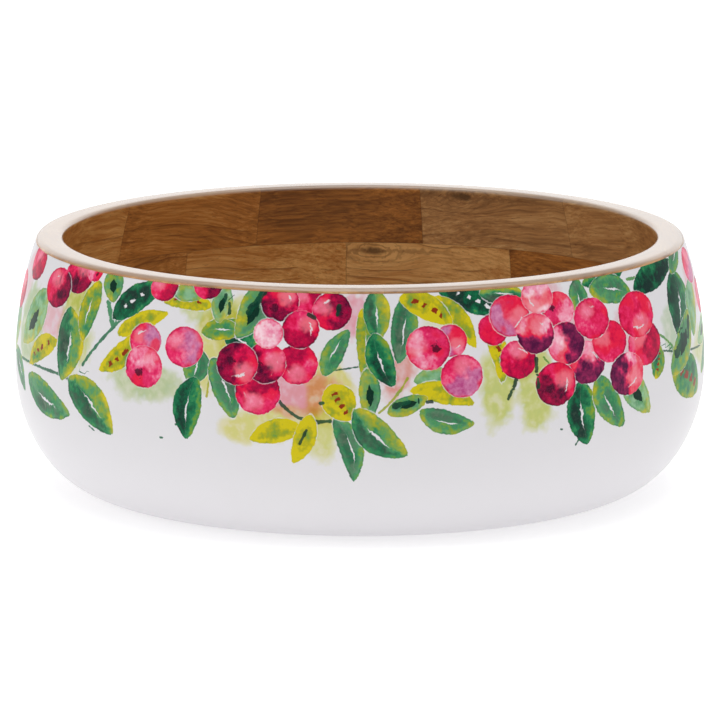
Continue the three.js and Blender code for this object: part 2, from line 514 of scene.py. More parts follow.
def wood_material(finish):
    """Lacquered mango wood whose figure follows each plank's own coordinates."""
    material, g, shader = new_material("lacquered_wood")
    even = g.attribute("plank")
    speck = g.noise(even, 0.35, 2.0)
    knot = g.group(knot_group(), knot=g.attribute("knot"), noise=speck)
    plank = g.vector("ADD", even, g.join(0.0, knot["Swell"], knot["Swell"]))
    tone, edge, grey = g.split(g.attribute("board"))
    rings = g.group(growth_rings_group(), plank=plank, spacing=6.0, wander=7.0)
    grain = g.group(wood_fibre_group(), plank=plank)
    figure = ((grain["Fibre"], 1.25), (grain["Cloud"], 0.85), (rings["Band"], -0.1))
    depth = g.plus(tone, *(g.swing(part, width) for part, width in figure))
    dark, mid, light = (tuple(c) for c in (finish.wood_dark, finish.wood_mid, finish.wood_light))
    body = g.ramp(depth, [(0.05, dark), (0.5, mid), (0.95, light)])
    marks = (
        (rings["Line"], 0.6, dark),
        (knot["Streak"], 0.5, dark),
        (knot["Core"], 0.75, paint(60, 34, 16)),
        (grain["Pores"], 0.4, paint(70, 38, 14)),
    )
    for mark, strength, tint in marks:
        body = g.mix(g.times(mark, strength), body, tint)
    greyed = g.node("ShaderNodeHueSaturation")
    g.plug(greyed.inputs["Hue"], g.plus(g.times(grey, 0.012), 0.5))
    g.plug(greyed.inputs["Saturation"], g.minus(1.0, g.times(grey, 0.16)))
    g.plug(greyed.inputs["Color"], body)
    glued = g.mix(g.fade(edge, 0.4, 0.1, 0, 0.3), greyed.outputs[0], paint(66, 38, 16))
    # Painted reflection: the top millimetres of the rim are paled towards the rim colour, in place of the
    # lacquer's sheen of the white surround
    _, _, height = g.split(g.object_mm())
    barely, fully = (CAD_BOX[1].z / MM - depth for depth in (1.8, 0.7))
    painted_rim_sheen = g.mix(g.fade(height, barely, fully, 0, 0.75), glued, tuple(finish.rim))
    g.plug(shader.inputs["Base Color"], painted_rim_sheen)
    rough = g.plus(g.times(grain["Fibre"], 0.14), finish.wood_roughness - 0.07)
    g.plug(shader.inputs["Roughness"], rough)
    relief = g.minus(g.times(grain["Fibre"], 0.35), grain["Pores"])
    bump = g.node("ShaderNodeBump")
    bump.inputs["Strength"].default_value = 0.1
    bump.inputs["Distance"].default_value = mm(0.15)
    g.plug(bump.inputs["Height"], relief)
    g.plug(shader.inputs["Normal"], bump.outputs[0])
    shader.inputs["Coat Weight"].default_value = 0.9
    shader.inputs["Coat Roughness"].default_value = 0.16
    return material


# Blocks that stand out from the rest: how light their wood is, and how grey
WOOD_TONES = {
    "rim_block_03": (0.42, 0.6),
    "rim_block_04": (0.5, 0.9),
    "rim_block_05": (0.45, 1.0),
    "rim_block_06": (0.26, 0.0),
    "rim_block_07": (0.46, 0.0),
    "rim_block_08": (0.58, 0.0),
    "rim_block_09": (0.5, 0.0),
    "middle_block_03": (0.46, 0.2),
    "middle_block_04": (0.34, 0.0),
    "middle_block_05": (0.8, 0.3),
    "middle_block_06": (0.64, 0.1),
    "middle_block_07": (0.44, 0.1),
}

# Blocks with a knot: the angle from the block's middle, and the knot's height in millimetres
KNOTS = {
    "rim_block_03": (-6, 92),
    "rim_block_05": (7, 106),
    "rim_block_11": (4, 95),
    "middle_block_02": (-5, 70),
    "middle_block_05": (11, 78.5),
    "middle_block_09": (3, 62),
    "lower_block_04": (-8, 44),
    "lower_block_10": (6, 36),
}


def mark_plank(bm, to_plank, look, edge_of, to_knot=None):
    """Stores what the wood material reads, with its lengths in millimetres.

    That is the plank coordinates, the plank's tone and greyness with the distance to its joints, and the
    place seen from its knot, along and across the grain.
    """
    plank = bm.verts.layers.float_vector.new("plank")
    board = bm.verts.layers.float_vector.new("board")
    knot = bm.verts.layers.float_vector.new("knot")
    for vert in bm.verts:
        vert[plank] = (to_plank @ vert.co) / MM
        vert[board] = (look[0], edge_of(vert.co) / MM, look[1])
        vert[knot] = to_knot(vert.co) / MM if to_knot else (FAR_KNOT, FAR_KNOT, 0)


def log_frame(rng, tilt):
    """Turns plank coordinates to those of the log it was cut from, whose heart lies along X."""
    roll, pitch, yaw = rng.uniform(-3, 3), rng.uniform(-tilt, tilt), rng.uniform(-tilt, tilt)
    lean = Euler((roll, pitch, yaw)).to_matrix().to_4x4()
    heart = Vector((rng.uniform(-1, 1), rng.uniform(0.015, 0.09), rng.uniform(0.015, 0.09)))
    return Matrix.Translation(heart) @ lean


def course_section(sizes, index):
    """A course's section, up its outside and down its inside."""
    low = sizes.board + (sizes.height - sizes.board) * index / len(COURSES) + sizes.glue / 2
    high = sizes.board + (sizes.height - sizes.board) * (index + 1) / len(COURSES) - sizes.glue / 2
    behind_coat, inside = wood_faces(sizes)
    if index < len(COURSES) - 1:
        return [*stretch(behind_coat, low, high), *reversed(stretch(inside, low, high))]
    shoulder = sizes.height - sizes.coat_drop + sizes.glue
    face = outer_wall(sizes).path()
    outer_start, outer_corner = stretch(face, shoulder, sizes.height)[0], face[-1]
    outer_end = outer_corner - Vector((sizes.rim_outer_round, 0))
    inner_side = stretch(inside, low, sizes.height - sizes.rim_inner_round)
    inner_start = inside[-1] + Vector((sizes.rim_inner_round, 0))
    return [
        *stretch(behind_coat, low, shoulder),
        *rounding(outer_start, outer_corner, outer_end),
        *rounding(inner_start, inside[-1], inner_side.pop(), steps=10),
        *reversed(inner_side),
    ]


class BOWL_OT_blocks(Operator):
    """Turn the three courses of wooden blocks"""

    bl_idname = "bowl.blocks"
    bl_label = "Blocks"

    def execute(self, context):
        sizes = context.scene.bowl_sizes
        rng = random.Random(sizes.seed)
        wood = bpy.data.materials.get("lacquered_wood") or wood_material(context.scene.bowl_finish)
        sweep = math.tau / BLOCKS_PER_COURSE
        turns = (sizes.lower_turn, sizes.middle_turn, sizes.rim_turn)
        for index, (course, first) in enumerate(zip(COURSES, turns)):
            section = course_section(sizes, index)
            low, high = min(p.y for p in section), max(p.y for p in section)
            for i in range(BLOCKS_PER_COURSE):
                start = first + i * sweep
                slack = sizes.glue / sizes.belly
                bm = spin_section(section, start + slack / 2, sweep - slack, BLOCK_STEPS)

                def to_joint(point, start=start):
                    away = (turn_of(point) - start) % math.tau
                    sides = [min(away, sweep - away) * sizes.belly, point.z - low]
                    if index < len(COURSES) - 1:
                        sides.append(high - point.z)
                    return max(0, min(sides))

                lie_along_x = Matrix.Rotation(-start - sweep / 2, 4, "Z")
                to_plank = log_frame(rng, tilt=0.16) @ Matrix.Translation((0, sizes.belly, 0)) @ lie_along_x
                name = f"{course}_block_{i + 1:02d}"
                to_knot = None
                if name in KNOTS:
                    aside, height = KNOTS[name]
                    centre = polar(sizes.belly - sizes.wall, math.radians(aside), mm(height))

                    def to_knot(point, centre=centre, lie_along_x=lie_along_x):
                        away = lie_along_x @ point - centre
                        return Vector((away.x, away.z, 0))

                chance = (rng.uniform(0.3, 0.7), rng.uniform(0, 0.6))
                mark_plank(bm, to_plank, WOOD_TONES.get(name, chance), to_joint, to_knot)
                smooth(bm)
                add_piece(f"turned_{name}", bm, wood, [name])
        return {"FINISHED"}


def board_section(sizes):
    """The bottom board's section, from the axis under the foot round to the axis above the floor."""
    behind_coat, inside = wood_faces(sizes)
    top = sizes.board - sizes.glue / 2
    foot = outer_wall(sizes).at(-math.pi / 2).x - sizes.foot_inset
    recess = foot - sizes.foot_ring
    soft = sizes.foot_round
    floor_edge = stretch(inside, sizes.floor, top)[0].x
    ring = mm(RING_STEP)

    def rounded(*corner):
        return rounding(*(Vector(point) for point in corner), steps=4)

    return [
        *(Vector((radius, sizes.foot_recess)) for radius in spread(0, recess - soft * 3, ring)),
        *rounded((recess, sizes.foot_recess - soft), (recess, 0), (recess + soft, 0)),
        *rounded((foot - soft, 0), (foot, 0), (foot, soft)),
        Vector((foot, behind_coat[0].y)),
        *stretch(behind_coat, behind_coat[0].y, top),
        *reversed(stretch(inside, sizes.floor, top)),
        *(Vector((radius, sizes.floor)) for radius in spread(floor_edge, 0, ring)[1:]),
    ]


def cut_away(bm, point, outwards):
    """Cuts off what lies past a plane and closes the cut."""
    geom = [*bm.verts, *bm.edges, *bm.faces]
    cut = bmesh.ops.bisect_plane(
        bm, geom=geom, dist=WELD / 2, plane_co=point, plane_no=outwards, clear_outer=True
    )
    rim = [e for e in cut["geom_cut"] if isinstance(e, bmesh.types.BMEdge)]
    bmesh.ops.holes_fill(bm, edges=rim, sides=0)


def joint_sides(name, names):
    """The sides of a plank that meet another, as (axis, direction). Names end in a row and a place in it."""
    row, place = name[-2:]
    rows = [n[-2] for n in names]
    places = [n[-1] for n in names if n[-2] == row]
    sides = {
        (0, -1): place > min(places),
        (0, 1): place < max(places),
        (1, -1): row > min(rows),
        (1, 1): row < max(rows),
    }
    return [side for side, meets in sides.items() if meets]


class BOWL_OT_base_planks(Operator):
    """Turn the bottom board and part it into its planks"""

    bl_idname = "bowl.base_planks"
    bl_label = "Base planks"

    def execute(self, context):
        sizes = context.scene.bowl_sizes
        rng = random.Random(sizes.seed + 1)
        wood = bpy.data.materials.get("lacquered_wood") or wood_material(context.scene.bowl_finish)
        board = spin_section(board_section(sizes), 0, math.tau, BOARD_STEPS, closed=False)
        whole = bpy.data.meshes.new("board")
        board.to_mesh(whole)
        board.free()
        names = sorted(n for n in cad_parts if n.startswith("base_plank_"))
        for name in names:
            low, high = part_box(name)
            bm = bmesh.new()
            bm.from_mesh(whole)
            grow = (mm(CAD_GLUE) - sizes.glue) / 2
            for axis, side in joint_sides(name, names):
                outwards = Vector((0, 0, 0))
                outwards[axis] = side
                joint = Vector(high if side > 0 else low) + outwards * grow
                cut_away(bm, joint, outwards)

            def to_joint(point, low=low, high=high):
                sides = (point.x - low.x, high.x - point.x, point.y - low.y, high.y - point.y)
                return max(0, min(sides))

            to_log = log_frame(rng, tilt=0.1)
            chance = (rng.uniform(0.3, 0.75), rng.uniform(0, 0.6))
            mark_plank(bm, to_log, chance, to_joint)
            bmesh.ops.recalc_face_normals(bm, faces=bm.faces)
            smooth(bm)
            add_piece(f"turned_{name}", bm, wood, [name])
        bpy.data.meshes.remove(whole)
        return {"FINISHED"}


# --- Print -----------------------------------------------------------------------------------

# Where each kind of paint lies on its own scale of colours
LEAF_COLOURS = [
    (0.0, paint(210, 194, 20)),
    (0.14, paint(180, 173, 26)),
    (0.29, paint(144, 160, 40)),
    (0.44, paint(100, 150, 62)),
    (0.58, paint(46, 136, 84)),
    (0.74, paint(12, 106, 68)),
    (0.88, paint(6, 76, 52)),
    (1.0, paint(8, 44, 38)),
]
BERRY_COLOURS = [
    (0.0, paint(255, 220, 228)),
    (0.2, paint(244, 142, 172)),
    (0.4, paint(238, 50, 108)),
    (0.58, paint(220, 12, 74)),
    (0.78, paint(170, 4, 62)),
    (1.0, paint(72, 2, 42)),
]
MAUVE_COLOURS = [
    (0.0, paint(232, 168, 204)),
    (0.45, paint(178, 78, 138)),
    (1.0, paint(92, 20, 76)),
]
WASH_COLOURS = [
    (0.0, paint(246, 232, 118)),
    (0.25, paint(228, 232, 132)),
    (0.45, paint(192, 216, 146)),
    (0.65, paint(140, 198, 160)),
    (0.8, paint(252, 170, 188)),
    (1.0, paint(240, 140, 118)),
]

# A leaf's two sides on the scale above, its marks along the midrib, and how pale it is
PLAIN, SLIT, WHITE_DASHES, BROWN_DASHES, DARK_DASHES = range(5)
LEAVES = {
    "viridian": (0.82, 0.76, WHITE_DASHES, 0.05),
    "pine": (0.86, 0.6, SLIT, 0.06),
    "teal": (0.76, 0.56, SLIT, 0.3),
    "teal_gold": (0.8, 0.28, SLIT, 0.22),
    "green": (0.5, 0.66, SLIT, 0.28),
    "moss": (0.38, 0.56, DARK_DASHES, 0.3),
    "olive": (0.3, 0.38, SLIT, 0.15),
    "gold": (0.02, 0.1, PLAIN, 0.05),
    "spotted": (0.04, 0.16, BROWN_DASHES, 0.05),
    "pale": (0.5, 0.3, DARK_DASHES, 0.6),
    "mist": (0.58, 0.4, PLAIN, 0.55),
    "bronze": (0.34, 0.56, BROWN_DASHES, 0.1),
    "ink": (0.98, 0.84, PLAIN, 0.0),
}
# A berry's light and dark sides on the scale above, whether it shows its dried flower, how mauve
BARE, FLOWER = range(2)
BERRIES = {
    "crimson": (0.45, 0.72, BARE, 0.0),
    "garnet": (0.5, 0.86, FLOWER, 0.0),
    "rose": (0.26, 0.46, FLOWER, 0.1),
    "split": (0.42, 0.3, BARE, 0.75),
    "mauve": (0.4, 0.3, BARE, 0.9),
    "dusk": (0.2, 0.92, BARE, 0.45),
    "blush": (0.05, 0.14, BARE, 0.1),
    "bright": (0.42, 0.52, BARE, 0.0),
}

# Leaves: angle and height of the middle, length, width, direction of the tip, bow, kind
GARLAND_LEAVES = [
    (-84, 72, 26, 13, 250, 1, "mist"),
    (-71, 82, 32, 16, 238, 2, "pale"),
    (-65, 69, 26, 10, 215, -2, "spotted"),
    (-57, 76, 32, 15, 268, 3, "teal_gold"),
    (-51, 92, 27, 10, 262, -1, "olive"),
    (-46.5, 104, 15, 10, 285, 0, "moss"),
    (-78, 56, 24, 10, 320, 2, "teal"),
    (-63, 51.5, 33, 15, 342, -2, "teal"),
    (-49.5, 52.5, 31, 17, 318, 2, "teal_gold"),
    (-38.5, 90.5, 26, 8.5, 28, 1, "gold"),
    (-40, 99.5, 29, 11.5, 38, 1.5, "viridian"),
    (-42.5, 77.5, 27, 10, 222, 1.5, "spotted"),
    (-30, 100.5, 22, 9, 180, -2.5, "spotted"),
    (-30, 105, 15, 7, 0, 0, "mist"),
    (-23.5, 102, 16, 9, 265, 0, "pale"),
    (-18.5, 100.5, 26, 13, 250, 2, "moss"),
    (-23, 91, 18, 9, 5, 1, "olive"),
    (-19, 89.5, 21, 12, 322, -2, "pine"),
    (-27.5, 76, 16, 12, 260, 1, "green"),
    (-28, 58.5, 27, 12.5, 262, -1.5, "pine"),
    (-22.3, 68, 27, 12, 292, 1.5, "green"),
    (-13.5, 50.5, 23, 10, 196, -1, "gold"),
    (-9.2, 48.5, 23, 9, 250, 1, "gold"),
    (-2.5, 44.5, 30, 10, 285, 3, "teal"),
    (-3.8, 84.5, 22, 9, 62, 1, "teal"),
    (-3.2, 64, 17, 14, 300, 0, "spotted"),
    (0.6, 87, 32, 8, 272, 1, "olive"),
    (2.8, 99.5, 22, 11, 272, 0, "teal_gold"),
    (6.8, 93.5, 28, 11, 262, 1, "teal"),
    (3.8, 81.5, 24, 11, 290, -1.5, "pine"),
    (1.2, 67.5, 22, 9, 272, 1, "moss"),
    (3.3, 51.5, 30, 14, 318, -2.5, "teal_gold"),
    (11, 101, 25, 10.5, 330, 1.5, "spotted"),
    (15.8, 96, 27, 9, 305, 1.5, "gold"),
    (18.8, 103, 29, 12, 335, 2, "viridian"),
    (12, 73.5, 18, 8, 5, 1, "mist"),
    (13.2, 65.5, 28, 9, 345, 2, "gold"),
    (7.5, 62.8, 18, 8, 20, 0, "moss"),
    (13.8, 57, 24, 10, 345, -2, "green"),
    (21.8, 82, 26, 8, 285, 3, "spotted"),
    (24.5, 106, 20, 9, 355, 0, "teal_gold"),
    (40, 99.5, 20, 9, 278, -1, "green"),
    (46, 107, 22, 7, 5, 0, "pine"),
    (47.3, 101, 22, 13, 345, 1.5, "green"),
    (61, 103, 30, 12, 14, 1, "ink"),
    (72, 107, 20, 8, 35, 0, "green"),
    (67.5, 88.5, 30, 19, 262, 2, "pine"),
    (76, 84, 26, 13, 250, -2, "mist"),
    (67, 72.5, 31, 14, 52, -2, "moss"),
    (57.5, 68, 14, 8, 75, 0, "bronze"),
    (69, 55, 30, 19, 330, 2, "bronze"),
    (82, 72, 24, 10, 200, 1, "pale"),
    (83, 60, 22, 9, 215, 0, "teal"),
    (38.8, 53.5, 29, 13.5, 278, -2, "pine"),
    (44.6, 56.5, 28, 12, 300, -2, "green"),
    (51, 58.5, 26, 12, 305, -1, "pale"),
]

# Berries: angle and height, radius, direction from the light side to the dark side, kind
GARLAND_BERRIES = [
    (-75, 103.5, 8.2, 300, "crimson"),
    (-56.5, 105, 8, 270, "garnet"),
    (-62.5, 97.5, 8.6, 330, "garnet"),
    (-52, 107.5, 4, 0, "rose"),
    (-84, 88, 8.5, 300, "crimson"),
    (-35, 106.5, 6.2, 0, "crimson"),
    (-26.5, 109.5, 6.5, 0, "garnet"),
    (-37.3, 84, 7.4, 0, "mauve"),
    (-29.6, 83.5, 8.5, 5, "split"),
    (-37.2, 73.3, 8.8, 250, "rose"),
    (-8.8, 105, 6.5, 0, "crimson"),
    (-13.4, 104, 8, 250, "garnet"),
    (-4.6, 101, 8, 10, "garnet"),
    (-9.7, 93.5, 7.8, 250, "crimson"),
    (-15, 91.5, 6.2, 0, "blush"),
    (-15.2, 79.5, 8.4, 220, "garnet"),
    (-20, 78.5, 8.8, 170, "garnet"),
    (-10, 79.5, 8.4, 120, "crimson"),
    (-16.4, 67.5, 9.5, 100, "crimson"),
    (14.8, 88.5, 6.8, 180, "mauve"),
    (11, 86, 9.2, 20, "rose"),
    (16.4, 74, 8.9, 300, "split"),
    (22.2, 92, 6.6, 250, "bright"),
    (25.4, 97, 8.8, 200, "split"),
    (31, 103.5, 7, 90, "blush"),
    (29.8, 89, 8.4, 270, "dusk"),
    (26.2, 79, 8, 300, "crimson"),
    (34.7, 97.5, 7.6, 180, "rose"),
    (35.5, 83.5, 8.8, 0, "dusk"),
    (33, 67.3, 9.2, 230, "garnet"),
    (39.4, 74.5, 9, 280, "dusk"),
    (41.6, 92, 8.6, 330, "bright"),
    (45, 81.5, 8.8, 0, "bright"),
    (52.8, 90, 9.8, 150, "bright"),
    (54, 77.5, 9.4, 0, "crimson"),
    (48.6, 66.5, 9, 190, "dusk"),
    (80, 100, 8, 300, "split"),
    (85, 85, 8, 0, "crimson"),
]

# Washes: angle and height, half length, half width, direction of the length, colour, strength
GARLAND_WASHES = [
    (-80, 96, 14, 9, 90, 0.85, 0.4),
    (-72, 78, 18, 14, 80, 0.45, 0.8),
    (-62, 84, 12, 9, 0, 0.83, 0.6),
    (-54.5, 84, 20, 11, 90, 0.3, 0.9),
    (-54, 98, 12, 9, 0, 0.2, 0.8),
    (-37, 67, 20, 9, 0, 0.42, 0.8),
    (-24, 84, 20, 12, 80, 0.12, 0.9),
    (-26, 100, 14, 9, 0, 0.3, 0.8),
    (-21, 94, 15, 10, 90, 0.2, 0.8),
    (-15, 54, 20, 8, 10, 0.12, 0.9),
    (-10, 68, 18, 10, 0, 0.83, 0.9),
    (-5, 69, 16, 11, 90, 0.08, 0.9),
    (-6, 51, 12, 8, 90, 0.2, 0.9),
    (-1, 100, 11, 8, 90, 0.83, 0.9),
    (6, 76, 14, 9, 70, 1.0, 0.8),
    (14, 94, 14, 9, 60, 0.2, 0.4),
    (22.5, 68, 18, 9, 85, 0.28, 1),
    (29.5, 66, 20, 10, 92, 0.28, 1),
    (26, 77, 10, 8, 0, 0.28, 1),
    (32, 98, 14, 10, 60, 0.84, 0.7),
    (38, 86, 14, 11, 0, 0.86, 0.7),
    (50, 84, 12, 10, 90, 0.84, 0.5),
    (66, 78, 18, 12, 90, 0.5, 0.6),
    (78, 92, 12, 10, 90, 0.82, 0.6),
    (80, 66, 16, 10, 0, 0.3, 0.8),
]

# Brush strokes: angle and height of both ends, width, bow, colour on the leaf scale
GARLAND_STEMS = [
    (-86, 60, -54, 62.5, 1.5, 1, 0.8),
    (-50.5, 69.5, -43.5, 92, 1.5, 0.5, 0.74),
    (-45, 88, -46.5, 97, 2.4, 0, 0.62),
    (-57, 63, -51, 59, 1.2, 0, 0.85),
    (-66, 88, -64.5, 93, 1.3, 0, 0.9),
    (-27.5, 84, -22.5, 73, 0.8, -1, 0.6),
    (-24.5, 75, -25, 64, 0.9, 0, 0.2),
    (-12.6, 63.5, -5, 56.5, 2, -3, 0.95),
    (-5, 56.5, -1.5, 53.5, 1.1, 0.6, 0.9),
    (-5, 77, 0, 79, 0.7, 0, 0.85),
    (7.5, 74, 3, 60, 1.2, 1, 0.3),
    (14, 72, 19, 76, 0.8, 0, 0.7),
    (31, 79, 33, 72, 1, 0, 0.5),
    (53, 104.5, 57, 104.5, 1.4, 0, 0.5),
    (56, 83, 62, 72, 1.1, 1, 0.5),
    (62, 72, 76, 66, 1, -1, 0.9),
    (39, 66, 38.5, 61, 1.1, 0, 0.5),
    (42, 68, 45, 62, 1, 0.5, 0.7),
]

# Dark touches laid over everything: angle and height, half length, half width, direction, colour
GARLAND_TOUCHES = [
    (-23, 104.5, 1.2, 0.9, 90, 0.98),
    (-22, 100.5, 2, 0.9, 280, 0.95),
    (-9, 49.5, 3.2, 0.7, 65, 0.98),
    (-6, 64, 0.6, 0.9, 0, 0.9),
    (-8, 99, 1.5, 0.9, 330, 1.0),
    (-3.6, 101.5, 2, 0.9, 80, 1.0),
    (-17.5, 103.5, 5, 1.6, 60, 0.97),
    (6.6, 63.5, 3, 1.3, 15, 0.98),
    (11, 64, 0.9, 0.8, 0, 0.98),
    (29.4, 76, 2.4, 1.1, 88, 1.0),
    (29.6, 68.5, 1.8, 0.8, 88, 0.98),
    (25.4, 69.5, 1.3, 0.8, 70, 0.98),
    (24.4, 64.5, 1.5, 0.7, 65, 0.95),
    (66.5, 88, 7, 2.6, 80, 0.97),
    (66, 71.5, 4, 2.4, 40, 1.0),
    (71, 77.5, 4, 1.4, 75, 1.0),
    (-49, 43, 1.3, 0.45, 330, 0.8),
    (-33.5, 44.5, 0.4, 0.5, 0, 0.8),
    (-30.5, 51, 0.3, 0.4, 0, 0.8),
    (37.5, 41.5, 1.4, 0.5, 60, 0.85),
    (34, 48, 0.3, 0.4, 0, 0.8),
]

FAR = 9.0  # distance given to what no shape is near, in millimetres
EDGE = 1.9  # a shape keeps to itself this far beyond its outline, in millimetres
REACH = 3.6  # how far beyond its outline a shape is still measured, in millimetres
REPEAT = math.pi  # the pattern comes again after half a turn, at the back of the bowl
WIDEST = 1.35  # how much wider the print's shapes grow towards the sides of the bowl
PRINT_LOW = mm(27)  # nothing is printed below this height
NEAR_FACE = mm(0.2)  # tells the enamel's face from its back


def leaf_distance(u, v, half, wide):
    """Distance outside a leaf that is broadest nearer its stalk."""
    x = u / half
    grow = wide * max(0.3, 1 - 0.16 * x)
    k = abs(v) / grow
    slope = math.hypot(1.4 * k**0.4 / grow, 2 * x / half)
    return max((k**1.4 + x * x - 1) / max(slope, 1 / wide), -wide)


def oval_distance(u, v, half, wide):
    return (math.hypot(u / half, v / wide) - 1) * min(half, wide)


def stroke_distance(u, v, half, wide):
    return math.hypot(max(abs(u) - half, 0), v) - wide


class Canvas:
    """The enamel's painted face: where each of its vertices lies, by column round the bowl."""

    def __init__(self, bm, wall):
        self.wall, self.count = wall, len(bm.verts)
        path = wall.path(fine=0.5)
        lengths = [0.0]
        for a, b in zip(path, path[1:]):
            lengths.append(lengths[-1] + (b - a).length / MM)
        self.climb = list(zip([p.y for p in path], lengths))
        self.places = [[] for _ in range(COAT_STEPS)]
        bm.verts.index_update()
        for vert in bm.verts:
            radius, z = vert.co.xy.length, vert.co.z
            if z > PRINT_LOW and abs(radius - wall.at(wall.turn_at(z)).x) < NEAR_FACE:
                turn = turn_of(vert.co)
                column = round(turn / math.tau * COAT_STEPS) % COAT_STEPS
                self.places[column].append((vert.index, turn, self.climbed(z), radius / MM))

    def climbed(self, z):
        """Length of the outline up to a height, in millimetres."""
        for (z0, s0), (z1, s1) in zip(self.climb, self.climb[1:]):
            if z <= z1:
                return s0 + (s1 - s0) * (z - z0) / (z1 - z0)
        return self.climb[-1][1]

    def around(self, turn, z, direction, reach):
        """Each vertex near a place, with its position along and across a direction there, in millimetres."""
        start = self.climbed(z)
        cos, sin = math.cos(direction), math.sin(direction)
        wider = min(WIDEST, 1 / math.sqrt(max(abs(math.cos(turn)), 0.1)))
        reach *= wider
        narrowest = self.wall.belly / 1.15  # the band's least radius, so that the span leaves nothing out
        span = math.ceil(mm(reach) / narrowest / math.tau * COAT_STEPS) + 1
        middle = round(turn / math.tau * COAT_STEPS)
        for column in range(middle - span, middle + span + 1):
            for index, at, climbed, radius in self.places[column % COAT_STEPS]:
                right = ((at - turn + math.pi) % math.tau - math.pi) * radius / wider
                up = climbed - start
                yield index, right * cos + up * sin, up * cos - right * sin


class Layer:
    """One coat of paint: for each vertex, the distance to its shape, the place in it, and its colours."""

    def __init__(self, name, canvas):
        self.name = name
        self.shape = [FAR, 0, 0] * canvas.count
        self.tones = [0, 0, 0] * canvas.count
        self.near = {}

    def put(self, cover, tones):
        for index, distance, u, v in cover:
            if distance < self.near.get(index, FAR):
                self.near[index] = distance
                self.shape[3 * index : 3 * index + 3] = (distance, u, v)
                self.tones[3 * index : 3 * index + 3] = tones

    def store(self, mesh):
        for part, values in (("shape", self.shape), ("tones", self.tones)):
            attribute = mesh.attributes.new(f"{self.name}_{part}", "FLOAT_VECTOR", "POINT")
            attribute.data.foreach_set("vector", values)


def lay(layers, cover, tones):
    """Puts a shape on the lowest layer above those it overlaps, or else on the highest layer with room."""
    crossed = [
        any(distance < EDGE and layer.near.get(index, FAR) < EDGE for index, distance, _, _ in cover)
        for layer in layers
    ]
    level = max((i + 1 for i, meets in enumerate(crossed) if meets), default=0)
    if level == len(layers):
        level = max((i for i, meets in enumerate(crossed) if not meets), default=level - 1)
    layers[level].put(cover, tones)


def cover_of(canvas, place, size, direction, bow, measure):
    """The vertices that a shape covers or is near, with their distances and their places in it.

    The places run from -1 to 1, but a stroke's are in millimetres.
    """
    (turn, z), (half, wide) = place, size
    scale = (1, 1) if measure is stroke_distance else (half, wide)
    cover = []
    for index, u, v in canvas.around(turn, z, direction, max(half, wide) + REACH + abs(bow)):
        v -= bow * (1 - (u / half) ** 2)
        distance = measure(u, v, half, wide)
        if distance < REACH:
            cover.append((index, distance, u / scale[0], v / scale[1]))
    return cover


def print_pattern(canvas):
    """Lays out the whole pattern and returns its layers by kind, undermost first."""
    counts = {"wash": 4, "stem": 1, "leaf": 5, "berry": 4, "touch": 1}
    layers = {
        kind: [Layer(f"{kind}_{i + 1}", canvas) for i in range(count)] for kind, count in counts.items()
    }

    def draw(kind, degrees, height, size, direction, bow, measure, tones):
        """Lays a shape on the front of the bowl, and again on the back."""
        turn, aim = math.radians(degrees), math.radians(direction)
        for place in ((turn, mm(height)), (turn + REPEAT, mm(height))):
            lay(layers[kind], cover_of(canvas, place, size, aim, bow, measure), tones)

    for degrees, height, half, wide, direction, tone, strength in GARLAND_WASHES:
        draw("wash", degrees, height, (half, wide), direction, 0, oval_distance, (tone, strength, 0))
    for degrees, height, to_degrees, to_height, width, bow, tone in GARLAND_STEMS:
        run = math.radians(to_degrees - degrees) * canvas.wall.belly / MM
        rise = canvas.climbed(mm(to_height)) - canvas.climbed(mm(height))
        middle = (degrees + to_degrees) / 2, (height + to_height) / 2
        direction = math.degrees(math.atan2(rise, run))
        size = math.hypot(run, rise) / 2, width / 2
        draw("stem", *middle, size, direction, bow, stroke_distance, (*size, tone))
    for degrees, height, span, width, direction, bow, kind in GARLAND_LEAVES:
        one, other, mark, pale = LEAVES[kind]
        size = span / 2, width / 2
        draw("leaf", degrees, height, size, direction, bow, leaf_distance, (one, other, mark + pale))
    for degrees, height, radius, direction, kind in GARLAND_BERRIES:
        light, dark, mark, mauve = BERRIES[kind]
        size = radius, radius
        draw("berry", degrees, height, size, direction, 0, oval_distance, (light, dark, mark + mauve))
    for degrees, height, half, wide, direction, tone in GARLAND_TOUCHES:
        draw("touch", degrees, height, (half, wide), direction, 0, stroke_distance, (half, wide, tone))
    return layers


PAINT_INPUTS = {
    "Under": ("colour", (1, 1, 1)),
    "Shape": ("vector", (FAR, 0, 0)),
    "Tones": ("vector", (0, 0, 0)),
    "Noise": ("vector", (0.5, 0.5, 0.5)),
}
PAPER_INPUT = {"Paper": ("colour", (1, 1, 1))}


def paint_group(name, more_inputs=None):
    """A group that paints a shape over what is under it, with the parts of its shape, tones and noise."""
    inputs = PAINT_INPUTS | (more_inputs or {})
    tree, g, given, out = new_group(name, inputs, {"Colour": "colour"})
    return tree, g, given, out["Colour"], *(g.split(given[title]) for title in ("Shape", "Tones", "Noise"))


def brush_edge_group():
    """A shape's edge from its distance in millimetres: the paint, the bare line round it and its rim."""
    inputs = {"Distance": ("value", 1.0), "Noise": ("vector", (0.5, 0.5, 0.5))}
    outputs = {"Paint": "value", "Gap": "value", "Rim": "value"}
    tree, g, given, out = new_group("Brush Edge", inputs, outputs)
    fine, medium, _ = g.split(given["Noise"])
    wobble = g.plus(g.times(fine, 0.9), g.times(medium, 1.1))
    distance = g.plus(given["Distance"], g.minus(wobble, 1.0))
    g.plug(out["Paint"], g.fade(distance, 0.14, -0.14))
    width = g.times(g.fade(medium, 0.42, 0.62), 0.45)
    g.plug(out["Gap"], g.fade(distance, g.plus(width, 0.16), g.minus(width, 0.1)))
    g.plug(out["Rim"], g.fade(distance, -1.2, -0.1))
    return tree


